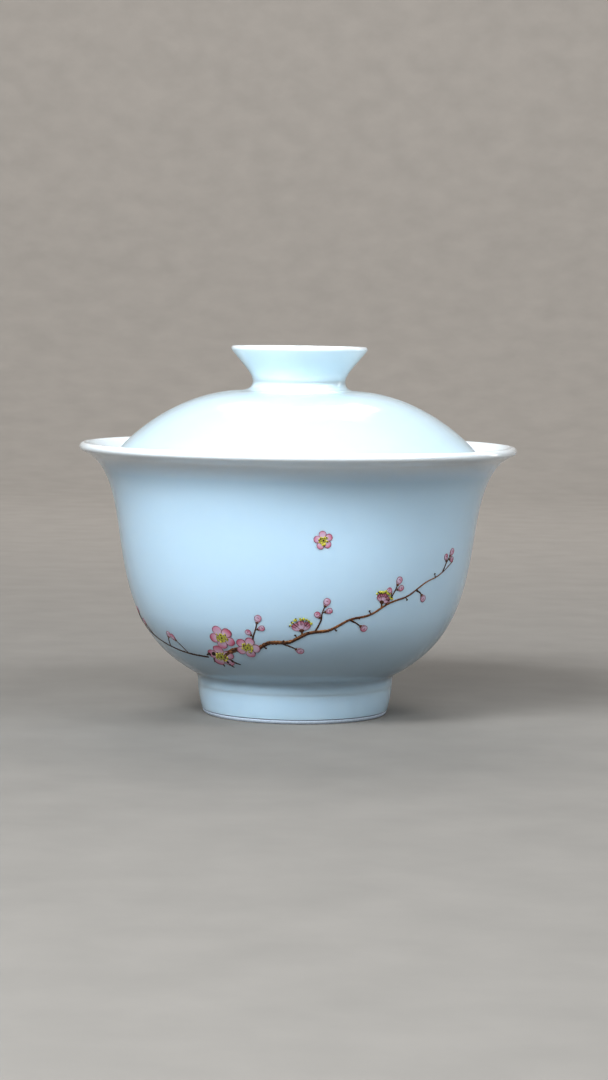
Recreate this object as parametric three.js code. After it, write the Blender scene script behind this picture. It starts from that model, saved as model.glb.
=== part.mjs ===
// Gaiwan: a lidded porcelain tea bowl, in millimetres, +Z up.
// The origin is on the axis at the surface that the foot ring stands on.
// Every piece is a body of revolution about Z. The bowl and its foot ring are one loose piece,
// the lid and its knob are the other, and the lid rests inside the flare of the bowl.

import * as THREE from 'three';

// ---- driving dimensions ----

const SEGMENTS = 64;

// foot ring
const FOOT_JOINT_Z = 6.5;        // plane where the foot ring is luted to the bowl
const FOOT_TOP_R = 21.9;         // outside radius at that plane
const FOOT_BASE_R = 20.9;        // outside radius just above the bare bevel
const FOOT_REST_R = 20.1;        // outer edge of the face that the bowl stands on
const FOOT_BEVEL_H = 0.9;
const FOOT_REST_INNER_R = 18.5;  // inner edge of the same face
const FOOT_BORE_R = 17.6;
const FOOT_RECESS_Z = 7.4;       // ceiling of the recess inside the foot ring

// bowl, outside
const FOOT_FILLET_Z = 8.8;       // where the foot turns out into the belly
const FOOT_FILLET_R = 22.2;
const BELLY_R = 39.9;            // where the belly becomes the upper wall
const BELLY_Z = 40.2;
const RIM_R = 49.0;
const RIM_TOP_Z = 60.6;

// bowl, inside
const FLOOR_Z = 10.9;
const FLOOR_FLAT_R = 8;
const WALL_MID = 2.3;            // wall thickness at the belly

// lid
const LID_EDGE_R = 42.75;
const LID_EDGE_Z = 55.8;
const LID_CROWN_Z = 72.5;        // outside of the dome at the foot of the knob
const LID_CROWN_R = 13.2;
const LID_THICKNESS = 2.2;
const LID_EDGE_THICKNESS = 1.5;

// knob
const NECK_Z = 74.6;             // plane where the knob is luted to the lid
const NECK_R = 10.4;
const KNOB_BORE_R = 7.4;
const KNOB_FLOOR_Z = 73.8;
const KNOB_R = 15.25;
const KNOB_TOP_Z = 82.5;
const KNOB_TOP_INNER_R = 13.2;

const PORCELAIN = 0xe6f1f5;
const LID_PORCELAIN = 0xeef7f9;
const BARE_EDGE_PORCELAIN = 0xe2eaee;

// ---- profile helpers: points are (radius, height) ----

function point(radius, height) {
  return new THREE.Vector2(radius, height);
}

// A smooth stretch between two points, steered by two control points.
function sweep(start, startControl, endControl, end, steps) {
  return new THREE.CubicBezierCurve(start, startControl, endControl, end).getPoints(steps);
}

// A quarter-turn style corner that runs from one point to another and bulges towards a third.
function corner(start, bulge, end, steps) {
  return new THREE.QuadraticBezierCurve(start, bulge, end).getPoints(steps);
}

// Joins stretches into one outline and drops the points that they share.
function joinStretches(...stretches) {
  const outline = [];
  for (const next of stretches.flat()) {
    const last = outline[outline.length - 1];
    if (!last || last.distanceTo(next) > 0.001) {
      outline.push(next);
    }
  }
  return outline;
}

// ---- materials ----

function glaze(colour, roughness) {
  return new THREE.MeshStandardMaterial({ color: colour, roughness, metalness: 0 });
}

// Turns an outline (anticlockwise, axis at the left) into a named solid of revolution.
function turned(name, outline, material) {
  const geometry = new THREE.LatheGeometry(outline, SEGMENTS);
  geometry.rotateX(Math.PI / 2);   // the lathe turns about Y, the part stands along Z
  const mesh = new THREE.Mesh(geometry, material);
  mesh.name = name;
  return mesh;
}

// ---- pieces ----

function makeFootRing() {
  const outside = sweep(
    point(FOOT_BASE_R, FOOT_BEVEL_H),
    point(FOOT_BASE_R + 0.5, FOOT_BEVEL_H + 1.6),
    point(FOOT_TOP_R - 0.15, FOOT_JOINT_Z - 2.2),
    point(FOOT_TOP_R, FOOT_JOINT_Z),
    4,
  );
  const outline = [
    point(FOOT_REST_INNER_R, 0),
    point(FOOT_REST_R, 0),
    point(FOOT_REST_R + 0.5, FOOT_BEVEL_H / 3),
    ...outside,
    point(FOOT_BORE_R, FOOT_JOINT_Z),
    point(FOOT_BORE_R + 0.1, FOOT_BEVEL_H),
    point(FOOT_REST_INNER_R, 0),
  ];
  return turned('foot_ring', outline, glaze(BARE_EDGE_PORCELAIN, 0.3));
}

function makeBowlBody() {
  const underside = [
    point(0, FOOT_RECESS_Z),
    ...corner(
      point(FOOT_BORE_R - 2, FOOT_RECESS_Z - 0.05),
      point(FOOT_BORE_R - 0.15, FOOT_RECESS_Z - 0.1),
      point(FOOT_BORE_R, FOOT_JOINT_Z),
      2,
    ),
    point(FOOT_TOP_R, FOOT_JOINT_Z),
    point(FOOT_FILLET_R, FOOT_FILLET_Z),
  ];
  const belly = sweep(
    point(FOOT_FILLET_R, FOOT_FILLET_Z),
    point(35.2, 15.9),
    point(37.9, 25.8),
    point(BELLY_R, BELLY_Z),
    9,
  );
  const flare = sweep(
    point(BELLY_R, BELLY_Z),
    point(41.0, 47.9),
    point(42.5, 56.3),
    point(RIM_R - 0.4, RIM_TOP_Z - 1.1),
    8,
  );
  const lip = [
    point(RIM_R - 0.1, RIM_TOP_Z - 0.75),
    point(RIM_R, RIM_TOP_Z - 0.45),
    point(RIM_R - 0.2, RIM_TOP_Z - 0.15),
    point(RIM_R - 0.6, RIM_TOP_Z),
    point(RIM_R - 1.1, RIM_TOP_Z),
    point(RIM_R - 2, RIM_TOP_Z - 0.35),
  ];
  const insideFlare = sweep(
    point(RIM_R - 2, RIM_TOP_Z - 0.35),
    point(43.2, 57.2),
    point(39.4, 50.5),
    point(BELLY_R - WALL_MID, BELLY_Z),
    8,
  );
  const insideBelly = sweep(
    point(BELLY_R - WALL_MID, BELLY_Z),
    point(35.6, 25.5),
    point(34.0, 12.3),
    point(FLOOR_FLAT_R, FLOOR_Z),
    9,
  );
  const outline = joinStretches(
    underside,
    belly,
    flare,
    lip,
    insideFlare,
    insideBelly,
    [point(0, FLOOR_Z)],
  );
  return turned('bowl_body', outline, glaze(PORCELAIN, 0.12));
}

function makeLidDome() {
  const inside = sweep(
    point(0, LID_CROWN_Z - LID_THICKNESS),
    point(19, LID_CROWN_Z - LID_THICKNESS - 0.1),
    point(34.5, 63.4),
    point(LID_EDGE_R - LID_EDGE_THICKNESS, LID_EDGE_Z - 0.75),
    9,
  );
  const edge = corner(
    point(LID_EDGE_R - LID_EDGE_THICKNESS, LID_EDGE_Z - 0.75),
    point(LID_EDGE_R - 0.2, LID_EDGE_Z - 1.3),
    point(LID_EDGE_R, LID_EDGE_Z),
    3,
  );
  const outside = sweep(
    point(LID_EDGE_R, LID_EDGE_Z),
    point(37.0, 64.1),
    point(25.2, 72.1),
    point(LID_CROWN_R, LID_CROWN_Z),
    9,
  );
  const neckFillet = corner(
    point(LID_CROWN_R, LID_CROWN_Z),
    point(NECK_R + 0.1, LID_CROWN_Z + 0.2),
    point(NECK_R, NECK_Z),
    4,
  );
  const knobFloor = [
    point(KNOB_BORE_R, NECK_Z),
    ...corner(
      point(KNOB_BORE_R, NECK_Z),
      point(KNOB_BORE_R - 0.2, KNOB_FLOOR_Z + 0.1),
      point(KNOB_BORE_R - 1.6, KNOB_FLOOR_Z),
      2,
    ),
    point(0, KNOB_FLOOR_Z),
  ];
  const outline = joinStretches(inside, edge, outside, neckFillet, knobFloor);
  return turned('lid_dome', outline, glaze(LID_PORCELAIN, 0.12));
}

function makeLidKnob() {
  const flare = sweep(
    point(NECK_R, NECK_Z),
    point(NECK_R + 0.2, NECK_Z + 2.4),
    point(KNOB_R - 2.2, KNOB_TOP_Z - 4.0),
    point(KNOB_R - 0.2, KNOB_TOP_Z - 1.3),
    6,
  );
  const topCorner = [
    point(KNOB_R, KNOB_TOP_Z - 0.8),
    point(KNOB_R - 0.2, KNOB_TOP_Z - 0.25),
    point(KNOB_R - 0.7, KNOB_TOP_Z),
    point(KNOB_TOP_INNER_R + 0.5, KNOB_TOP_Z),
    point(KNOB_TOP_INNER_R, KNOB_TOP_Z - 0.4),
  ];
  const inside = sweep(
    point(KNOB_TOP_INNER_R, KNOB_TOP_Z - 0.4),
    point(KNOB_TOP_INNER_R - 2.2, KNOB_TOP_Z - 3.4),
    point(KNOB_BORE_R + 0.4, NECK_Z + 2.6),
    point(KNOB_BORE_R, NECK_Z),
    5,
  );
  const outline = joinStretches(flare, topCorner, inside);
  outline.push(outline[0].clone());
  return turned('lid_knob', outline, glaze(LID_PORCELAIN, 0.12));
}

// ---- assembly ----

function makeBowl() {
  const bowl = new THREE.Group();
  bowl.name = 'bowl';
  bowl.add(makeBowlBody(), makeFootRing());
  return bowl;
}

function makeLid() {
  const lid = new THREE.Group();
  lid.name = 'lid';
  lid.add(makeLidDome(), makeLidKnob());
  return lid;
}

const gaiwan = new THREE.Group();
gaiwan.name = 'gaiwan';
gaiwan.add(makeBowl(), makeLid());

export default gaiwan;
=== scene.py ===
"""Gaiwan: a lidded porcelain tea bowl with a plum branch in overglaze enamel on its front.

Lengths are in metres, +Z up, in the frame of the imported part. The painted side faces -Y.
On the bowl a place is given as (azimuth in degrees, height in millimetres): azimuth 0 is the
front and grows towards +X.
"""

import math
import random

import bmesh
import bpy
from mathutils import Matrix, Vector


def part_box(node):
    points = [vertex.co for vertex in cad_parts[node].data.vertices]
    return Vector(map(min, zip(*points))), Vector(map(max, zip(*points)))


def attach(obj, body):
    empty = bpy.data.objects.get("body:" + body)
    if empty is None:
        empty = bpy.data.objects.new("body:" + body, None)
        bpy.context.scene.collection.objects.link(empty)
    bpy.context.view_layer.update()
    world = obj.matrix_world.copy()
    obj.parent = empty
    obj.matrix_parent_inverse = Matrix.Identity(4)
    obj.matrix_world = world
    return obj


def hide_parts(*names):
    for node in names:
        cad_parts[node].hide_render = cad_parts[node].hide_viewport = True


MM = 0.001
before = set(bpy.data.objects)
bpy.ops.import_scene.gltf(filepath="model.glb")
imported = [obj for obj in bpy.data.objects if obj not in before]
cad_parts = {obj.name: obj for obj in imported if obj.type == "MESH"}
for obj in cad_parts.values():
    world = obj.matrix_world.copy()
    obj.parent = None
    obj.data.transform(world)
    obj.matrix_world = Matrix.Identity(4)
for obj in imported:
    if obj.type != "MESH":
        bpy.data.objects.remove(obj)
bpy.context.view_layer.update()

# ---- sizes that come from the frame ----

_, bowl_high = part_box("bowl_body")
_, foot_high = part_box("foot_ring")
dome_low, dome_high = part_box("lid_dome")
knob_low, knob_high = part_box("lid_knob")

RIM_R = bowl_high.x
RIM_Z = bowl_high.z
FOOT_JOINT_Z = foot_high.z
FOOT_TOP_R = foot_high.x
LID_EDGE_R = dome_high.x
LID_LOW_Z = dome_low.z
NECK_Z = knob_low.z
KNOB_R = knob_high.x
KNOB_TOP_Z = knob_high.z

SEGMENTS = 288


# ---- outlines: lists of (radius, height) in metres ----

def mm(radius, height):
    return (radius * MM, height * MM)


def sweep(start, start_control, end_control, end, steps):
    """Points along a cubic Bezier curve."""
    points = []
    for i in range(steps + 1):
        t = i / steps
        s = 1 - t
        weights = (s * s * s, 3 * s * s * t, 3 * s * t * t, t * t * t)
        corners = (start, start_control, end_control, end)
        points.append(tuple(sum(w * c[k] for w, c in zip(weights, corners)) for k in (0, 1)))
    return points


def arc(centre, radius, from_degrees, to_degrees, steps):
    """Points along a circular arc, angles measured from outward towards up."""
    points = []
    for i in range(steps + 1):
        angle = math.radians(from_degrees + (to_degrees - from_degrees) * i / steps)
        points.append((centre[0] + radius * math.cos(angle), centre[1] + radius * math.sin(angle)))
    return points


def join(*stretches):
    outline = []
    for point in (p for stretch in stretches for p in stretch):
        if not outline or math.dist(point, outline[-1]) > 1e-6:
            outline.append(point)
    return outline


# Outside of the bowl from the foot joint to the start of the rounded lip.
LIP_START = (RIM_R - 1.9 * MM, RIM_Z - 2.5 * MM)
BOWL_OUTSIDE = join(
    sweep((FOOT_TOP_R, FOOT_JOINT_Z), mm(22.02, 7.5), mm(21.7, 8.6), mm(23.0, 9.35), 14),
    sweep(mm(23.0, 9.35), mm(35.1, 16.1), mm(37.9, 25.8), mm(39.9, 40.2), 84),
    sweep(mm(39.9, 40.2), mm(41.0, 47.9), mm(42.4, 55.6), LIP_START, 60),
)


def bowl_outline():
    underside = join(
        [(0, 7.4 * MM)],
        sweep(mm(14.5, 7.35), mm(16.6, 7.35), mm(17.6, 7.2), (17.6 * MM, FOOT_JOINT_Z), 12),
    )
    widest = (RIM_R, RIM_Z - 1.0 * MM)
    top = (RIM_R - 1.05 * MM, RIM_Z)
    lip = join(
        sweep(LIP_START, (RIM_R - 0.85 * MM, RIM_Z - 1.95 * MM), (RIM_R, RIM_Z - 1.65 * MM), widest, 12),
        sweep(widest, (RIM_R, RIM_Z - 0.45 * MM), (RIM_R - 0.45 * MM, RIM_Z), top, 12),
    )
    lip_inside = sweep(top, (RIM_R - 1.7 * MM, RIM_Z), mm(45.4, 58.9), mm(43.9, 56.9), 16)
    inside = join(
        sweep(mm(43.9, 56.9), mm(41.3, 53.4), mm(39.3, 49.6), mm(37.65, 40.2), 36),
        sweep(mm(37.65, 40.2), mm(35.6, 25.5), mm(34.0, 12.3), mm(8, 10.9), 60),
        [(0, 10.9 * MM)],
    )
    return join(underside, BOWL_OUTSIDE, lip, lip_inside, inside)


def foot_outline():
    """The glazed part of the foot ring. The glaze stops in a rounded edge above the bare bevel."""
    glaze_edge = arc(mm(20.78, 1.2), 0.22 * MM, 10, -95, 10)
    outside = sweep(mm(21.0, 1.25), mm(21.45, 2.9), mm(21.75, 4.4), (FOOT_TOP_R, FOOT_JOINT_Z), 40)
    bore = join(
        [(17.6 * MM, FOOT_JOINT_Z)],
        sweep(mm(17.6, 5.5), mm(17.6, 3.5), mm(17.65, 2.0), mm(17.75, 1.3), 20),
        arc(mm(17.95, 1.2), 0.2 * MM, 170, 270, 8),
    )
    return join(glaze_edge[::-1], outside, bore, [glaze_edge[-1]])


def foot_edge_outline():
    """The bare bevelled edge of the foot ring, a little inside the line of the glaze."""
    return join(
        sweep(mm(20.2, 0.0), mm(20.5, 0.0), mm(20.78, 0.5), mm(20.8, 0.82), 14),
        arc(mm(20.62, 0.82), 0.18 * MM, 0, 90, 6),
        [mm(18.05, 1.0)],
        sweep(mm(17.95, 0.9), mm(17.95, 0.4), mm(18.2, 0.0), mm(18.5, 0.0), 12),
        [mm(20.2, 0.0)],
    )


def dome_outline():
    edge_z = 55.8 * MM
    inner_edge = (LID_EDGE_R - 1.5 * MM, edge_z - 0.75 * MM)
    inside = sweep(mm(0, 70.3), mm(19, 70.2), mm(34.85, 63.4), inner_edge, 100)
    edge = sweep(
        inner_edge,
        (LID_EDGE_R - 1.15 * MM, LID_LOW_Z - 0.12 * MM),
        (LID_EDGE_R + 0.05 * MM, LID_LOW_Z - 0.1 * MM),
        (LID_EDGE_R, edge_z),
        20,
    )
    edge = [(r, max(z, LID_LOW_Z)) for r, z in edge]
    outside = sweep((LID_EDGE_R, edge_z), mm(37.0, 64.1), mm(25.2, 72.1), mm(13.2, 72.5), 120)
    neck_fillet = sweep(mm(13.2, 72.5), mm(11.4, 72.6), mm(10.4, 73.2), (10.4 * MM, NECK_Z), 20)
    knob_floor = join(
        sweep((7.4 * MM, NECK_Z), mm(7.35, 74.1), mm(6.9, 73.85), mm(5.8, 73.8), 10),
        [(0, 73.8 * MM)],
    )
    return join(inside, edge, outside, neck_fillet, knob_floor)


def knob_outline():
    lip_r = 0.62 * MM
    outer_lip = (KNOB_R - lip_r, KNOB_TOP_Z - lip_r)
    inner_lip = (KNOB_R - 2.0 * MM, KNOB_TOP_Z - 0.5 * MM)
    round_lip = arc(outer_lip, lip_r, -40, 90, 14)
    flare = sweep(
        (10.4 * MM, NECK_Z),
        mm(10.4, 76.4),
        mm(12.9, 78.6),
        round_lip[0],
        50,
    )
    inside = sweep(
        (inner_lip[0] - 0.35 * MM, inner_lip[1]),
        mm(11.0, 79.0),
        mm(7.6, 77.3),
        (7.4 * MM, NECK_Z),
        40,
    )
    outline = join(
        flare,
        round_lip,
        arc((inner_lip[0] + 0.1 * MM, inner_lip[1]), 0.5 * MM, 90, 165, 8),
        inside,
    )
    return outline + [outline[0]]


def turned(name, outline):
    """A smooth solid of revolution. Points on the axis become one shared vertex."""
    closed = math.dist(outline[0], outline[-1]) < 1e-9
    points = outline[:-1] if closed else outline
    vertices, rings = [], []
    for radius, height in points:
        if radius < 1e-9:
            rings.append([len(vertices)] * SEGMENTS)
            vertices.append((0, 0, height))
            continue
        rings.append(list(range(len(vertices), len(vertices) + SEGMENTS)))
        for i in range(SEGMENTS):
            angle = math.tau * i / SEGMENTS
            vertices.append((radius * math.cos(angle), radius * math.sin(angle), height))
    faces = []
    pairs = list(zip(rings, rings[1:])) + ([(rings[-1], rings[0])] if closed else [])
    for lower, upper in pairs:
        for i in range(SEGMENTS):
            j = (i + 1) % SEGMENTS
            corners = (lower[i], lower[j], upper[j], upper[i])
            faces.append(tuple(dict.fromkeys(corners)))
    return finish_mesh(name, vertices, faces, sharp_degrees=50)


def finish_mesh(name, vertices, faces, sharp_degrees=180):
    mesh = bpy.data.meshes.new(name)
    mesh.from_pydata(vertices, [], faces)
    mesh.update()
    mesh.shade_smooth()
    if sharp_degrees < 180:
        mesh.set_sharp_from_angle(angle=math.radians(sharp_degrees))
    piece = bpy.data.objects.new(name, mesh)
    bpy.context.scene.collection.objects.link(piece)
    return piece


# ---- materials ----

def new_material(name):
    material = bpy.data.materials.new(name)
    material.use_nodes = True
    tree = material.node_tree
    shader = tree.nodes["Principled BSDF"]
    return material, tree, shader


def add_node(tree, kind, **settings):
    node = tree.nodes.new(kind)
    for key, value in settings.items():
        if key in node.inputs:
            node.inputs[key].default_value = value
        else:
            setattr(node, key, value)
    return node


def ramp(tree, factor, stops):
    """A colour ramp with (position, colour) stops, fed by factor."""
    node = tree.nodes.new("ShaderNodeValToRGB")
    elements = node.color_ramp.elements
    while len(elements) < len(stops):
        elements.new(0.5)
    for element, (position, colour) in zip(elements, stops):
        element.position = position
        element.color = (*colour, 1)
    tree.links.new(factor, node.inputs["Fac"])
    return node.outputs["Color"]


def mix_colour(tree, factor, first, second, blend="MIX"):
    node = tree.nodes.new("ShaderNodeMix")
    node.data_type = "RGBA"
    node.blend_type = blend
    for socket, value in (("Factor", factor), ("A", first), ("B", second)):
        target = next(
            i for i in node.inputs if i.name == socket and (socket == "Factor" or i.type == "RGBA")
        )
        if isinstance(value, (float, int)):
            target.default_value = value
        elif isinstance(value, tuple):
            target.default_value = (*value, 1)
        else:
            tree.links.new(value, target)
    return next(o for o in node.outputs if o.type == "RGBA")


def noise(tree, place, scale, detail=2.0, roughness=0.5):
    node = add_node(tree, "ShaderNodeTexNoise", Scale=scale, Detail=detail, Roughness=roughness)
    tree.links.new(place, node.inputs["Vector"])
    return node.outputs["Fac"]


def map_range(tree, value, low, high, to_low=0.0, to_high=1.0):
    node = tree.nodes.new("ShaderNodeMapRange")
    node.inputs["From Min"].default_value = low
    node.inputs["From Max"].default_value = high
    node.inputs["To Min"].default_value = to_low
    node.inputs["To Max"].default_value = to_high
    tree.links.new(value, node.inputs["Value"])
    return node.outputs["Result"]


def bump(tree, shader, layers):
    """Chains bump layers of (height socket, strength, depth in metres) into the shader's normal."""
    last = None
    for height, strength, depth in layers:
        node = add_node(tree, "ShaderNodeBump", Strength=strength, Distance=depth)
        tree.links.new(height, node.inputs["Height"])
        if last:
            tree.links.new(last, node.inputs["Normal"])
        last = node.outputs["Normal"]
    tree.links.new(last, shader.inputs["Normal"])


# painted light: glaze colour for surfaces that face in or up, whiter than the outer wall
INSIDE_AND_UP_PAINTED_LIGHT = (0.72, 0.81, 0.865)


def mark_faces_for_painted_light(piece):
    """Adds an attribute that is 0 on the outer wall and 1 wherever the surface faces in or up, where the
    glaze paints light by turning whiter.
    """
    values = []
    for vertex in piece.data.vertices:
        out = vertex.co.xy.normalized()
        facing_out = vertex.normal.xy.dot(out)
        values.append(min(max(max(vertex.normal.z, 0.0) - facing_out, 0.0), 1.0))
    attribute = piece.data.attributes.new("inside", "FLOAT", "POINT")
    attribute.data.foreach_set("value", values)


def glaze_material(name, colour, band_tone, thin, band_z, band_reach, white_top_z, white_top_depth,
                   gloss=(0.07, 0.13), depth=1.0 * MM):
    """Slightly translucent bluish-white glaze. Above band_z it takes band_tone in a band that fades out
    band_reach above it: on the bowl a deeper tone over the lower belly, partly glaze that pools at
    the foot and partly painted shade; on the lid and knob a lighter tone round the neck. It is
    whiter below the top edge at white_top_z, partly where the glaze runs thin and partly as a
    painted highlight on the lip and the knob's top, and whiter as painted light on a surface marked
    as facing in or up. It has the slow waviness and faint turning rings of the clay under it."""
    material, tree, shader = new_material(name)
    place = tree.nodes.new("ShaderNodeTexCoord").outputs["Object"]
    split = tree.nodes.new("ShaderNodeSeparateXYZ")
    tree.links.new(place, split.inputs["Vector"])
    height = split.outputs["Z"]
    cloud = noise(tree, place, 45, 3)
    clouded = tuple(c * 0.985 for c in colour)
    body = mix_colour(tree, map_range(tree, cloud, 0.35, 0.65), colour, clouded)
    # band above band_z: on the bowl painted shade over the lower belly, partly glaze that pools at the
    # foot; on the lid and knob a lighter band round the neck
    band_rise = map_range(tree, height, band_z - 1.6 * MM, band_z, 0, 1)
    band_fade = map_range(tree, height, band_z + 1.5 * MM, band_z + band_reach, 1, 0)
    band_share = tree.nodes.new("ShaderNodeMath")
    band_share.operation = "MULTIPLY"
    tree.links.new(band_rise, band_share.inputs[0])
    tree.links.new(band_fade, band_share.inputs[1])
    body = mix_colour(tree, band_share.outputs[0], body, band_tone)
    # painted light: whiter wherever the surface faces in or up
    inside = add_node(tree, "ShaderNodeAttribute", attribute_name="inside").outputs["Fac"]
    body = mix_colour(tree, inside, body, INSIDE_AND_UP_PAINTED_LIGHT)
    # whiter towards the top edge: partly glaze running thin, partly a painted highlight on the lip and the
    # knob's top
    edge = map_range(tree, height, white_top_z - white_top_depth, white_top_z - 0.45 * white_top_depth, 0, 1)
    body = mix_colour(tree, edge, body, thin)
    tree.links.new(body, shader.inputs["Base Color"])
    shader.inputs["IOR"].default_value = 1.5
    shader.inputs["Coat Weight"].default_value = 0.3
    shader.inputs["Coat Roughness"].default_value = 0.04
    shader.inputs["Subsurface Weight"].default_value = 0.6
    shader.inputs["Subsurface Radius"].default_value = (1.0, 1.0, 1.0)
    shader.inputs["Subsurface Scale"].default_value = depth
    rough = map_range(tree, noise(tree, place, 260, 3), 0.3, 0.7, *gloss)
    tree.links.new(rough, shader.inputs["Roughness"])
    rings = add_node(tree, "ShaderNodeTexWave", Scale=120, Distortion=1.2, Detail=1)
    rings.wave_type = "BANDS"
    rings.bands_direction = "Z"
    tree.links.new(place, rings.inputs["Vector"])
    bump(
        tree,
        shader,
        [
            (noise(tree, place, 110, 2), 0.12, 0.05 * MM),
            (rings.outputs["Fac"], 0.05, 0.02 * MM),
            (noise(tree, place, 1500, 2), 0.05, 0.01 * MM),
        ],
    )
    return material


def bare_clay_material():
    """Unglazed porcelain: matt, pale and fine-grained, with a dark line where it meets the glaze that is
    partly a fire line and partly painted shade under the glaze edge.
    """
    material, tree, shader = new_material("bare_porcelain")
    place = tree.nodes.new("ShaderNodeTexCoord").outputs["Object"]
    split = tree.nodes.new("ShaderNodeSeparateXYZ")
    tree.links.new(place, split.inputs["Vector"])
    speckle = noise(tree, place, 2500, 4, 0.65)
    body = ramp(tree, speckle, [(0.3, (0.60, 0.69, 0.80)), (0.6, (0.70, 0.79, 0.90))])
    # dark line at the glaze edge: partly a fire line, partly painted shade under the glaze's step
    fire_line_and_shade = map_range(tree, split.outputs["Z"], 0.78 * MM, 0.95 * MM, 0, 1)
    body = mix_colour(tree, fire_line_and_shade, body, (0.13, 0.15, 0.24))
    tree.links.new(body, shader.inputs["Base Color"])
    shader.inputs["Roughness"].default_value = 0.62
    bump(tree, shader, [(speckle, 0.3, 0.02 * MM)])
    return material


def enamel_material(name, stops, roughness, coat, grain_scale, grain_share, dark):
    """Overglaze enamel. The mesh's tint attribute runs from 0 to 1 along the colour stops, and
    brush grain lets a darker tone of the same colour show through."""
    material, tree, shader = new_material(name)
    place = tree.nodes.new("ShaderNodeTexCoord").outputs["Object"]
    tint = add_node(tree, "ShaderNodeAttribute", attribute_name="tint").outputs["Fac"]
    colour = ramp(tree, tint, stops)
    grain = map_range(tree, noise(tree, place, grain_scale, 4, 0.6), 0.42, 0.68, 0, grain_share)
    colour = mix_colour(tree, grain, colour, dark)
    tree.links.new(colour, shader.inputs["Base Color"])
    shader.inputs["Roughness"].default_value = roughness
    shader.inputs["Coat Weight"].default_value = coat
    shader.inputs["Coat Roughness"].default_value = 0.12
    shader.inputs["Specular IOR Level"].default_value = 0.35
    bump(tree, shader, [(noise(tree, place, 2200, 3), 0.25, 0.02 * MM)])
    return material


def make_materials():
    blue_white = (0.585, 0.745, 0.87)
    # deeper tone over the lower belly: partly glaze that pools at the foot, partly painted shade
    band_tone = (0.43, 0.545, 0.635)
    # lighter band round the neck, between the lid's tone and the knob's painted-light tone
    neck_band_white = (0.70, 0.825, 0.885)
    # whiter tone near the rim and the knob's top: partly thin glaze, partly a painted highlight
    thin = (0.80, 0.845, 0.88)
    lid_white = (0.615, 0.745, 0.825)
    # painted light: the knob's glaze is a lighter copy of the lid's, so the knob reads brighter
    knob_painted_light_white = (0.77, 0.87, 0.925)
    foot_band_z = 9.4 * MM
    neck_band_z = 73.4 * MM
    on_bowl = (blue_white, band_tone, thin, foot_band_z, 14 * MM, RIM_Z, 6.5 * MM)
    above_neck = (neck_band_white, thin, neck_band_z, 2.6 * MM, KNOB_TOP_Z, 0.9 * MM)
    lid_depth = 1.8 * MM
    return {
        "bowl_glaze": glaze_material("bowl_glaze", *on_bowl),
        "foot_glaze": glaze_material("foot_glaze", *on_bowl),
        "lid_glaze": glaze_material("lid_glaze", lid_white, *above_neck, (0.12, 0.18), lid_depth),
        "knob_glaze": glaze_material("knob_glaze", knob_painted_light_white, *above_neck, (0.15, 0.22), lid_depth),
        "bare_porcelain": bare_clay_material(),
        "enamel_bark": enamel_material(
            "enamel_bark",
            [
                (0.0, (0.03, 0.012, 0.009)),
                (0.35, (0.14, 0.058, 0.03)),
                (0.7, (0.28, 0.125, 0.045)),
                (1.0, (0.42, 0.22, 0.10)),
            ],
            0.42, 0.1, 900, 0.5, (0.05, 0.02, 0.012),
        ),
        "enamel_outline": enamel_material(
            "enamel_outline",
            [(0.0, (0.07, 0.022, 0.028)), (0.5, (0.27, 0.095, 0.12)), (1.0, (0.47, 0.24, 0.30))],
            0.35, 0.2, 1400, 0.4, (0.14, 0.04, 0.05),
        ),
        "enamel_blossom": enamel_material(
            "enamel_blossom",
            [
                (0.0, (0.64, 0.60, 0.73)),
                (0.3, (0.63, 0.47, 0.60)),
                (0.65, (0.62, 0.27, 0.38)),
                (1.0, (0.52, 0.11, 0.18)),
            ],
            0.22, 0.35, 700, 0.3, (0.58, 0.22, 0.33),
        ),
        "enamel_stamen": enamel_material(
            "enamel_stamen",
            [(0.0, (0.30, 0.29, 0.07)), (0.5, (0.54, 0.53, 0.11)), (1.0, (0.72, 0.66, 0.12))],
            0.25, 0.35, 900, 0.35, (0.34, 0.38, 0.04),
        ),
    }


# ---- painting on the bowl ----

class BowlSurface:
    """The glazed outside of the bowl, walked by azimuth and by arc length up its outline."""

    def __init__(self, outline):
        self.outline = outline
        self.arcs = [0.0]
        for a, b in zip(outline, outline[1:]):
            self.arcs.append(self.arcs[-1] + math.dist(a, b))

    def span(self, value, keys):
        low, high = 0, len(keys) - 1
        while high - low > 1:
            middle = (low + high) // 2
            if keys[middle] <= value:
                low = middle
            else:
                high = middle
        share = (value - keys[low]) / (keys[high] - keys[low])
        return low, share

    def arc_at_height(self, height):
        heights = [z for _, z in self.outline]
        i, share = self.span(height, heights)
        return self.arcs[i] + share * (self.arcs[i + 1] - self.arcs[i])

    def radius(self, along):
        i, share = self.span(along, self.arcs)
        return self.outline[i][0] + share * (self.outline[i + 1][0] - self.outline[i][0])

    def point(self, azimuth, along, lift):
        """The point at an azimuth in radians and an arc length, raised off the glaze by lift."""
        i, share = self.span(along, self.arcs)
        (r0, z0), (r1, z1) = self.outline[i], self.outline[i + 1]
        length = math.dist((r0, z0), (r1, z1))
        out_r, out_z = (z1 - z0) / length, -(r1 - r0) / length
        radius = r0 + share * (r1 - r0) + out_r * lift
        height = z0 + share * (z1 - z0) + out_z * lift
        return (radius * math.sin(azimuth), -radius * math.cos(azimuth), height)


BOWL = BowlSurface(BOWL_OUTSIDE)
SUNK = -0.03 * MM


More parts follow.
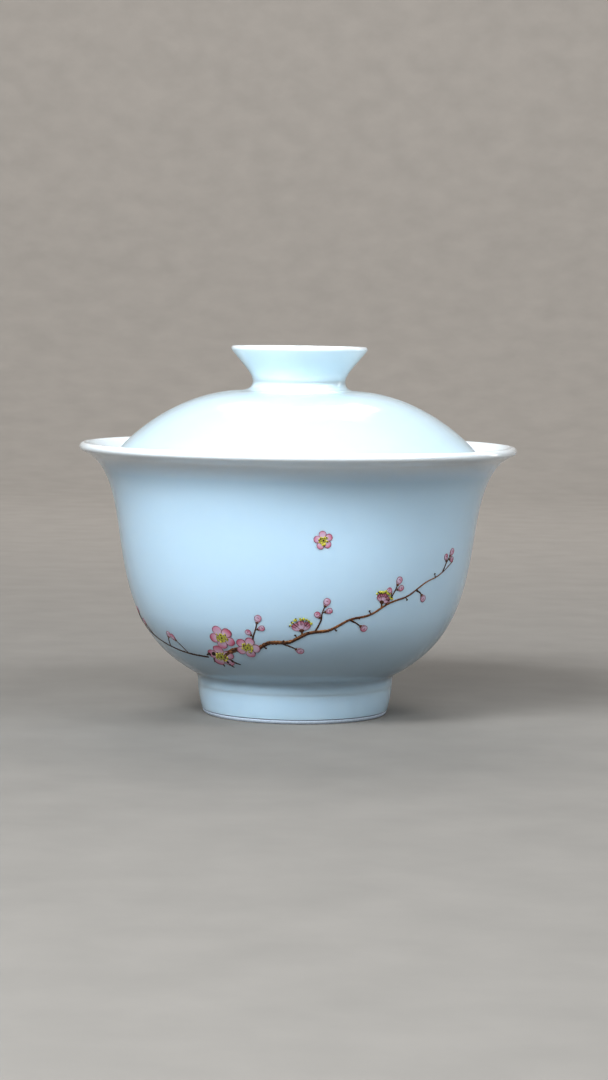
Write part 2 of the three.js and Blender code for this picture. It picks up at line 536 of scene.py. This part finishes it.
class Enamel:
    """Thin raised strokes and patches of one colour, gathered into one mesh on the bowl."""

    def __init__(self, name, slot, material):
        self.name, self.slot, self.material = name, slot, material
        self.vertices, self.faces, self.tints = [], [], []

    def add(self, azimuth, along, lift, tint):
        self.vertices.append(BOWL.point(azimuth, along, lift))
        self.tints.append(tint)
        return len(self.vertices) - 1

    def patch(self, centre, outline, thickness, tint, base=0.0):
        """A raised patch. centre is (azimuth in degrees, height in mm), outline is a closed loop of
        (right, up) offsets in mm about it, and tint(share, angle, right, up) gives its colour place."""
        azimuth = math.radians(centre[0])
        along = BOWL.arc_at_height(centre[1] * MM)
        radius = BOWL.radius(along)
        rings = ((1.0, SUNK), (0.96, 0.45 * thickness), (0.88, 0.8 * thickness), (0.66, thickness),
                 (0.4, 0.96 * thickness), (0.18, 0.94 * thickness))

        def place(right, up, lift):
            return azimuth + right * MM / radius, along + up * MM, lift

        loops = []
        for share, lift in rings:
            raised = lift if lift < 0 else lift + base
            loop = []
            for k, (right, up) in enumerate(outline):
                angle = math.tau * k / len(outline)
                loop.append(self.add(*place(right * share, up * share, raised),
                                     tint(share, angle, right * share, up * share)))
            loops.append(loop)
        count = len(outline)
        top = self.add(*place(0, 0, base + 0.94 * thickness), tint(0, 0, 0, 0))
        bottom = self.add(*place(0, 0, 2 * SUNK), 0.5)
        for outer, inner in zip(loops, loops[1:]):
            for i in range(count):
                j = (i + 1) % count
                self.faces.append((outer[i], outer[j], inner[j], inner[i]))
        for i in range(count):
            j = (i + 1) % count
            self.faces.append((loops[-1][i], loops[-1][j], top))
            self.faces.append((loops[0][j], loops[0][i], bottom))

    def stroke(self, points, widths, thickness, tint, closed=False, base=0.0, wobble=0.0, chance=None):
        """A brush stroke through (azimuth in degrees, height in mm) points, with a width in mm at
        each of them. tint is a number or a function of the share of the way along."""
        path = smooth_path(points, widths, closed)
        profile = ((-1.0, SUNK), (-0.82, 0.55 * thickness), (-0.4, 0.95 * thickness), (0.0, thickness),
                   (0.4, 0.95 * thickness), (0.82, 0.55 * thickness), (1.0, SUNK))
        count = len(path)
        sections = []
        for i, (azimuth, along, width) in enumerate(path):
            before = path[(i - 1) % count] if closed else path[max(i - 1, 0)]
            after = path[(i + 1) % count] if closed else path[min(i + 1, count - 1)]
            radius = BOWL.radius(along)
            dx, dy = (after[0] - before[0]) * radius, after[1] - before[1]
            length = math.hypot(dx, dy) or 1.0
            side_x, side_y = dy / length, -dx / length
            half = width * MM / 2
            share_along = i / max(count - 1, 1)
            colour = tint(share_along) if callable(tint) else tint
            section = []
            for share, lift in profile:
                swing = 1 + (chance.uniform(-wobble, wobble) if chance and abs(share) > 0.5 else 0)
                reach = share * half * swing
                raised = lift if lift < 0 else lift + base
                across = azimuth + side_x * reach / radius
                section.append(self.add(across, along + side_y * reach, raised, colour))
            sections.append(section)
        self.skin(sections, closed)

    def skin(self, sections, closed):
        pairs = list(zip(sections, sections[1:])) + ([(sections[-1], sections[0])] if closed else [])
        for first, second in pairs:
            for k in range(len(first)):
                m = (k + 1) % len(first)
                self.faces.append((first[k], second[k], second[m], first[m]))
        if not closed:
            self.faces.append(tuple(sections[0]))
            self.faces.append(tuple(reversed(sections[-1])))

    def build(self):
        piece = finish_mesh(self.name, self.vertices, self.faces)
        attribute = piece.data.attributes.new("tint", "FLOAT", "POINT")
        attribute.data.foreach_set("value", self.tints)
        recalculate_outward(piece.data)
        piece.data.materials.append(self.material)
        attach(piece, "bowl")
        return piece


def recalculate_outward(mesh):
    work = bmesh.new()
    work.from_mesh(mesh)
    bmesh.ops.recalc_face_normals(work, faces=work.faces)
    work.to_mesh(mesh)
    work.free()


def catmull_rom(a, b, c, d, t):
    """The value at t between b and c, on a smooth curve that also heads for a and d."""
    cubic = (3 * b - a - 3 * c + d) * t ** 3
    return 0.5 * (2 * b + (c - a) * t + (2 * a - 5 * b + 4 * c - d) * t * t + cubic)


def smooth_path(points, widths, closed=False, step=0.22):
    """Catmull-Rom path through places on the bowl: (azimuth in radians, arc length, width in mm)."""
    knots = [
        (math.radians(azimuth), BOWL.arc_at_height(height * MM), width)
        for (azimuth, height), width in zip(points, widths)
    ]
    count = len(knots)
    path = []
    for i in range(count if closed else count - 1):
        if closed:
            four = [knots[(i + k) % count] for k in (-1, 0, 1, 2)]
        else:
            four = [knots[min(max(i + k, 0), count - 1)] for k in (-1, 0, 1, 2)]
        p0, p1, p2, p3 = four
        reach = math.hypot((p2[0] - p1[0]) * 36, (p2[1] - p1[1]) / MM)
        steps = max(2, round(reach / step))
        for s in range(steps):
            t = s / steps
            path.append(tuple(catmull_rom(a, b, c, d, t) for a, b, c, d in zip(p0, p1, p2, p3)))
    if not closed:
        path.append(knots[-1])
    return path


def shift(place, right, up):
    """A place moved by millimetres to the right and up the bowl's wall."""
    along = BOWL.arc_at_height(place[1] * MM) + up * MM
    radius = BOWL.radius(along)
    i, share = BOWL.span(along, BOWL.arcs)
    height = BOWL.outline[i][1] + share * (BOWL.outline[i + 1][1] - BOWL.outline[i][1])
    return (place[0] + math.degrees(right * MM / radius), height / MM)


def petal_loop(length, width, chance):
    """A rounded petal about its own middle: its claw points down and its broad tip up."""
    steps, wobble = 26, 0.03
    loop = []
    for k in range(steps):
        t = math.tau * k / steps
        up = -math.cos(t)
        broad = math.sqrt(0.72 + 0.28 * up)
        swing = 1 + chance.uniform(-wobble, wobble)
        loop.append((math.sin(t) * broad * width / 2 * swing, up * length / 2 * swing))
    return loop


def turned_loop(loop, degrees):
    c, s = math.cos(math.radians(degrees)), math.sin(math.radians(degrees))
    return [(x * c - y * s, x * s + y * c) for x, y in loop]


def along_points(points, share):
    position = share * (len(points) - 1)
    i = min(int(position), len(points) - 2)
    t = position - i
    return tuple(a + (b - a) * t for a, b in zip(points[i], points[i + 1]))


def around(place, reach_right, reach_up, from_degrees, to_degrees, count=7):
    """Places on an arc about a place, with angles measured from the right towards up."""
    places = []
    for k in range(count):
        angle = math.radians(from_degrees + (to_degrees - from_degrees) * k / (count - 1))
        places.append(shift(place, reach_right * math.cos(angle), reach_up * math.sin(angle)))
    return places


class Painting:
    """The plum branch: its colours, and the brush marks that it is made of.

    A direction in degrees is turned anticlockwise from straight up. A higher layer lies on top."""

    def __init__(self, materials):
        self.bark = Enamel("branch_enamel", "enamel_bark", materials["enamel_bark"])
        self.outline = Enamel("petal_outlines", "enamel_bark", materials["enamel_outline"])
        self.petals = Enamel("blossom_petals", "enamel_blossom", materials["enamel_blossom"])
        self.stamens = Enamel("blossom_stamens", "enamel_stamen", materials["enamel_stamen"])
        self.chance = random.Random(7)

    def petal(self, place, length, width, degrees, blush=1.0, layer=0, deep=None):
        """One petal with its tip in a direction. Its pink deepens by blush towards deep, which is
        the tip unless it is given."""
        loop = turned_loop(petal_loop(length, width, self.chance), degrees)
        deep = math.radians(degrees if deep is None else deep)
        toward = (-math.sin(deep), math.cos(deep))
        reach = (length + width) / 2

        def tint(share, angle, right, up):
            place_along = 0.5 + (right * toward[0] + up * toward[1]) / reach
            place_along = min(max(place_along, 0.0), 1.0)
            value = 0.04 + blush * (0.86 * place_along ** 1.6 + 0.14 * share ** 3)
            return min(max(value, 0.0), 1.0)

        base = layer * 0.02 * MM
        self.petals.patch(place, loop, 0.06 * MM, tint, base=base)
        rim = [shift(place, x * 0.99, y * 0.99) for x, y in loop[::2]]
        widths = [0.06 + 0.09 * self.chance.random() for _ in rim]
        tone = 0.55 + 0.25 * self.chance.random()
        self.outline.stroke(rim, widths, 0.03 * MM, tone, closed=True, base=base + 0.045 * MM)

    def stamens_along(self, crown, count, root, dab, layer):
        """Yellow anthers dabbed along a crown of places, with a dark grain beside every other one
        and filaments that come from the root."""
        base = layer * 0.02 * MM + 0.05 * MM
        for k in range(count):
            share = (k + self.chance.uniform(0.25, 0.75)) / count
            end = along_points(crown, share)
            end = shift(end, self.chance.uniform(-0.15, 0.15), self.chance.uniform(-0.2, 0.2))
            start = tuple(a + (b - a) * 0.5 for a, b in zip(root, end))
            self.outline.stroke([start, end], [0.12, 0.08], 0.02 * MM, 0.1, base=base)
            size = dab * self.chance.uniform(0.7, 1.3)
            self.dot(self.stamens, end, size, 0.3 + 0.7 * self.chance.random(), base)
            if k % 2:
                grain = shift(end, self.chance.uniform(-0.3, 0.3), self.chance.uniform(-0.25, 0.35))
                self.dot(self.bark, grain, dab * 0.4, 0.05, base + 0.03 * MM, stretch=1.5,
                         degrees=self.chance.uniform(40, 140))

    def dot(self, enamel, place, size, tint, base=0.0, stretch=1.0, degrees=0.0, thickness=0.07):
        loop = [
            (math.cos(math.tau * k / 12) * size * stretch / 2, math.sin(math.tau * k / 12) * size / 2)
            for k in range(12)
        ]
        enamel.patch(place, turned_loop(loop, degrees), thickness * MM, lambda *_: tint, base=base)

    def yellow_wash(self, place, width, height, layer):
        """A soft patch of yellow under the stamens."""
        loop = [
            (math.cos(math.tau * k / 20) * width / 2 * self.chance.uniform(0.9, 1.1),
             math.sin(math.tau * k / 20) * height / 2 * self.chance.uniform(0.9, 1.1))
            for k in range(20)
        ]
        self.stamens.patch(place, loop, 0.04 * MM, lambda share, *_: 0.3 + 0.3 * share,
                           base=layer * 0.02 * MM + 0.03 * MM)

    def twig(self, points, widths, tint):
        """A thin brush line whose tone comes and goes, with dark grains along it."""
        phase = self.chance.uniform(0, math.tau)
        self.bark.stroke(points, widths, 0.06 * MM,
                         lambda s: tint * (1 + 0.45 * math.sin(11 * s + phase)),
                         wobble=0.2, chance=self.chance)
        for k in range(2 * len(points) - 3):
            share = self.chance.uniform(k, k + 1) / (2 * len(points) - 3)
            width = widths[min(int(share * len(widths)), len(widths) - 1)]
            self.knot(along_points(points, share), width * 0.75, degrees=self.chance.uniform(50, 110),
                      tint=0.02, stretch=1.5)

    def knot(self, place, size, degrees, tint, stretch=1.6):
        self.dot(self.bark, place, size, tint, base=0.01 * MM, stretch=stretch, degrees=degrees,
                 thickness=0.08)

    def spur(self, start, end, width=0.32):
        """A short side shoot that ends in a dark knot."""
        self.bark.stroke([start, end], [width, width * 0.6], 0.06 * MM, 0.3, wobble=0.15,
                         chance=self.chance)
        self.knot(end, width * 0.95, degrees=self.chance.uniform(-40, 40), tint=0.06)

    def bud(self, place, size, degrees, blush=1.0):
        """A closed pink bud in its calyx, with two dark folds and a pale glint."""
        slim = 0.95
        self.petal(place, size, size * slim, degrees, blush, layer=1, deep=degrees - 70)
        for reach, start, end in ((0.3, 200, 330), (0.16, 20, 150)):
            fold = around(place, reach * size * slim, reach * size, start + degrees, end + degrees, 5)
            self.outline.stroke(fold, [0.06, 0.12, 0.15, 0.12, 0.06], 0.02 * MM, 0.3, base=0.07 * MM)
        glint = around(place, 0.36 * size * slim, 0.36 * size, 95 + degrees, 175 + degrees, 5)
        self.petals.stroke(glint, [0.08, 0.16, 0.2, 0.16, 0.08], 0.03 * MM, 0.0, base=0.06 * MM)
        foot = shift(place, *turned_loop([(0, -0.53 * size)], degrees)[0])
        self.dot(self.bark, foot, size * 0.3, 0.4, base=0.05 * MM, stretch=1.3, degrees=degrees)

    def build(self):
        for enamel in (self.bark, self.petals, self.outline, self.stamens):
            enamel.build()


# The plum branch is a design of its own, drawn by rule from these few values:
# (azimuth in degrees, height in mm) of its two ends, and lengths in mm.
BRANCH_ROOT = (-30, 16)
BRANCH_TIP = (60, 36)
BRANCH_SAG = 2.5
BRANCH_WIDTH = 1.5
FLOWER_SIZE = 6.5
BUD_SIZE = 1.8


def toward(place, degrees, distance):
    """The place that lies a distance in mm away, in a direction turned from straight up."""
    angle = math.radians(degrees)
    return shift(place, -distance * math.sin(angle), distance * math.cos(angle))


def branch_points(count=14):
    """The line of the main branch: it rises to the right, sags a little and bends at its nodes."""
    points = []
    for k in range(count):
        share = k / (count - 1)
        azimuth, height = (a + (b - a) * share for a, b in zip(BRANCH_ROOT, BRANCH_TIP))
        bend = 0.5 if k % 2 else -0.5
        points.append((azimuth, height - BRANCH_SAG * math.sin(math.pi * share) + bend * (1 - 0.5 * share)))
    return points


def paint_branch(art, points):
    """The tapering branch, with a dark underside, a light upper edge and grains of bark."""
    chance = art.chance
    count = len(points)
    widths = [BRANCH_WIDTH * (1 - 0.87 * (k / (count - 1)) ** 0.6) for k in range(count)]
    art.bark.stroke(points, widths, 0.09 * MM, lambda s: 0.5 + 0.14 * math.sin(31 * s),
                    wobble=0.2, chance=chance)
    half = count // 2
    for side, share, tone in ((-0.33, 0.34, 0.05), (0.24, 0.2, 0.98)):
        edge = [shift(place, 0, side * width) for place, width in zip(points, widths)]
        art.bark.stroke(edge[1:half], [width * share for width in widths[1:half]], 0.03 * MM, tone,
                        wobble=0.6, chance=chance, base=0.07 * MM)
    grains = 54
    for k in range(grains):
        share = 0.75 * (k + 0.5) / grains
        width = along_points([(w, 0) for w in widths], share)[0]
        place = shift(along_points(points, share), 0, chance.uniform(-0.4, 0.35) * width)
        size = width * chance.uniform(0.25, 0.5)
        tone = chance.choice((0.12, 0.18, 0.25, 0.9))
        art.dot(art.bark, place, size, tone, base=0.07 * MM, stretch=1.7,
                degrees=chance.uniform(0, 60), thickness=0.06)


def paint_shoot(art, start, degrees, length, width=0.42, buds=1):
    """A side shoot that wavers as it grows, with a bud at its end and others by turns beside it."""
    chance = art.chance
    points = [start]
    for _ in range(4):
        degrees += chance.uniform(-14, 14)
        points.append(toward(points[-1], degrees, length / 4))
    art.twig(points, [width * (1 - 0.11 * k) for k in range(len(points))], tint=0.25)
    art.bud(toward(points[-1], degrees, 0.5 * BUD_SIZE), BUD_SIZE, degrees, chance.uniform(0.6, 1.0))
    for k in range(1, buds):
        side = 55 if k % 2 else -55
        art.bud(toward(points[k + 1], degrees + side, 0.8 * BUD_SIZE), 0.85 * BUD_SIZE, degrees + side)
        art.spur(points[k + 1], toward(points[k + 1], degrees + side, 0.35 * BUD_SIZE), width=0.26)


def paint_shoots(art, points):
    """Shoots leave the branch by turns above and below it and grow shorter towards its tip."""
    count = 7
    for k in range(count):
        share = 0.14 + 0.8 * k / (count - 1)
        above = k % 2 == 0
        length = (8.5 if above else 4.5) * (1 - 0.55 * share)
        start = along_points(points, share)
        paint_shoot(art, start, -18 if above else -118, length, buds=3 if above else 1)
    for k in range(6):
        place = along_points(points, 0.2 + 0.14 * k)
        art.spur(place, toward(place, 30 if k % 2 else -140, 0.9))


def paint_flower(art, centre, size, degrees, layer=0):
    """An open flower: five round petals about a yellow eye and a ring of stamens."""
    ring = around(centre, 0.22 * size, 0.2 * size, 10, 370, 9)
    for k in range(5):
        angle = degrees + 72 * k
        art.petal(toward(centre, angle, 0.28 * size), 0.46 * size, 0.44 * size, angle,
                  blush=art.chance.uniform(0.45, 1.1), layer=layer + k % 3)
    art.yellow_wash(centre, 0.34 * size, 0.3 * size, layer=layer + 3)
    art.stamens_along(ring, 13, centre, dab=0.45, layer=layer + 4)
    art.dot(art.bark, centre, 0.4, 0.1, base=0.18 * MM)


def paint_half_flower(art, foot, size, degrees):
    """A flower from the side: three petals that fan out of the calyx, with the stamens over them."""
    for lean, depth in ((-48, 0), (48, 0), (0, 1)):
        art.petal(toward(foot, degrees + lean, 0.28 * size), 0.46 * size, 0.42 * size, degrees + lean,
                  blush=art.chance.uniform(0.6, 1.1), layer=depth)
    crown = [toward(foot, degrees + lean, 0.6 * size) for lean in (-60, -30, 0, 30, 60)]
    art.stamens_along(crown, 12, foot, dab=0.5, layer=2)
    art.dot(art.bark, foot, 0.8, 0.35, base=0.08 * MM, stretch=1.4, degrees=degrees)


def paint_flowers(art, points):
    """Open flowers crowd round the foot of the branch, half-open ones stand along it, and one
    floats above it."""
    root = along_points(points, 0.06)
    for k in range(3):
        centre = toward(root, 120 - 95 * k, 0.62 * FLOWER_SIZE)
        paint_flower(art, centre, FLOWER_SIZE * (1 - 0.08 * k), 24 * k, layer=2 * k)
    for k in range(2):
        place = along_points(points, 0.36 + 0.3 * k)
        foot = toward(place, 8, 1.4)
        art.twig([place, foot], [0.5, 0.4], tint=0.6)
        paint_half_flower(art, foot, FLOWER_SIZE * (0.72 - 0.1 * k), 8 - 30 * k)
    paint_flower(art, (8, 42), 0.62 * FLOWER_SIZE, 10)


def paint_old_wood(art):
    """Dark dry strokes that fan out of the root, and a thin shoot round the left side."""
    for k in range(5):
        degrees = 85 + 32 * k
        start = toward(BRANCH_ROOT, degrees, 1.5)
        middle = toward(start, degrees + 12, 1.8)
        end = toward(middle, degrees + 30, 1.3)
        art.twig([start, middle, end], [1.5 - 0.18 * k, 1.0 - 0.12 * k, 0.3], tint=0.06)
    side = [(-38 - 11 * k, 15 + 0.35 * k ** 2) for k in range(6)]
    art.twig(side, [0.6 - 0.07 * k for k in range(6)], tint=0.08)
    for k in range(1, 6):
        paint_shoot(art, side[k], 20 if k % 2 else -30, 4.5 - 0.4 * k, width=0.32)


def paint_plum_branch(art):
    points = branch_points()
    paint_old_wood(art)
    paint_branch(art, points)
    paint_shoots(art, points)
    paint_flowers(art, points)


# ---- the porcelain ----

def porcelain(name, outline, body, slot, materials, *nodes):
    piece = turned(name, outline)
    piece.data.materials.append(materials[slot])
    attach(piece, body)
    if nodes:
        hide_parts(*nodes)
    return piece


def make_porcelain(materials):
    bowl = porcelain("bowl_porcelain", bowl_outline(), "bowl", "bowl_glaze", materials, "bowl_body")
    mark_faces_for_painted_light(bowl)
    porcelain("foot_ring_porcelain", foot_outline(), "bowl", "foot_glaze", materials, "foot_ring")
    porcelain("foot_bare_edge", foot_edge_outline(), "bowl", "bare_porcelain", materials)
    porcelain("lid_porcelain", dome_outline(), "lid", "lid_glaze", materials, "lid_dome")
    porcelain("knob_porcelain", knob_outline(), "lid", "knob_glaze", materials, "lid_knob")


# ---- camera, light and floor ----

def make_camera():
    data = bpy.data.cameras.new("camera")
    data.sensor_width = 36
    data.lens = 93.1
    data.clip_start = 0.01
    camera = bpy.data.objects.new("camera", data)
    bpy.context.scene.collection.objects.link(camera)
    look_down = math.radians(4.41)
    look_right = math.radians(0.147)
    roll = math.radians(0.8)
    turn = (
        Matrix.Rotation(-look_right, 4, "Z")
        @ Matrix.Rotation(math.radians(90) - look_down, 4, "X")
        @ Matrix.Rotation(roll, 4, "Z")
    )
    camera.matrix_world = Matrix.Translation((0, -0.627, 0.0873)) @ turn
    bpy.context.scene.camera = camera


MIDDLE = (0, 0, 0.045)


def around_piece(azimuth, elevation, distance=0.8):
    """A place round the piece: azimuth 0 is the painted front and grows towards +X."""
    a, e = math.radians(azimuth), math.radians(elevation)
    across = distance * math.cos(e)
    return (across * math.sin(a), -across * math.cos(a), MIDDLE[2] + distance * math.sin(e))


def make_light(name, place, target, size, power, colour):
    data = bpy.data.lights.new(name, "AREA")
    data.shape = "RECTANGLE"
    data.size, data.size_y = size
    data.energy = power
    data.color = colour
    light = bpy.data.objects.new(name, data)
    bpy.context.scene.collection.objects.link(light)
    light.location = place
    light.rotation_euler = (Vector(target) - Vector(place)).to_track_quat("-Z", "Y").to_euler()


def make_lights():
    cool, warm = (0.95, 0.98, 1.0), (1.0, 0.98, 0.96)
    small = (0.3, 0.3)
    make_light("key_softbox", around_piece(-22, 38), MIDDLE, (0.8, 0.3), 5.5, cool)
    make_light("left_softbox", around_piece(-35, 42), MIDDLE, small, 4.5, cool)
    make_light("right_softbox", around_piece(70, 35), MIDDLE, small, 2.0, cool)
    make_light("right_fill", around_piece(37, 50), MIDDLE, small, 1.5, cool)
    make_light("rim_softbox", around_piece(180, 50), MIDDLE, (0.4, 0.3), 2.0, warm)
    make_light("right_strip", around_piece(120, 11, 0.6), MIDDLE, (0.09, 0.4), 0.4, warm)
    make_light("backdrop_light", (0.0, 0.55, 0.9), (0, 1.4, 0.35), (1.2, 0.3), 15.0, warm)
    world = bpy.data.worlds.new("studio")
    world.use_nodes = True
    world.node_tree.nodes["Background"].inputs["Color"].default_value = (0.9, 0.95, 1.0, 1)
    world.node_tree.nodes["Background"].inputs["Strength"].default_value = 0.02
    bpy.context.scene.world = world
    bpy.context.scene.view_settings.view_transform = "Standard"
    bpy.context.scene.view_settings.gamma = 0.75


def make_floor():
    """A pale round sweep: flat under the piece, curving up into a wall well away from it."""
    flat, curve, top = 0.8, 0.6, 2.4
    floor = turned("floor", join([(0, 0)], arc((flat, curve), curve, -90, 0, 24), [(flat + curve, top)]))
    material, tree, shader = new_material("pale_paper")
    place = tree.nodes.new("ShaderNodeTexCoord").outputs["Object"]
    grain = noise(tree, place, 60, 5)
    tree.links.new(ramp(tree, grain, [(0.3, (0.262, 0.25, 0.236)), (0.7, (0.284, 0.27, 0.255))]),
                   shader.inputs["Base Color"])
    shader.inputs["Roughness"].default_value = 0.85
    floor.data.materials.append(material)


# ---- make everything ----

make_camera()
materials = make_materials()
make_porcelain(materials)
art = Painting(materials)
paint_plum_branch(art)
art.build()
make_lights()
make_floor()
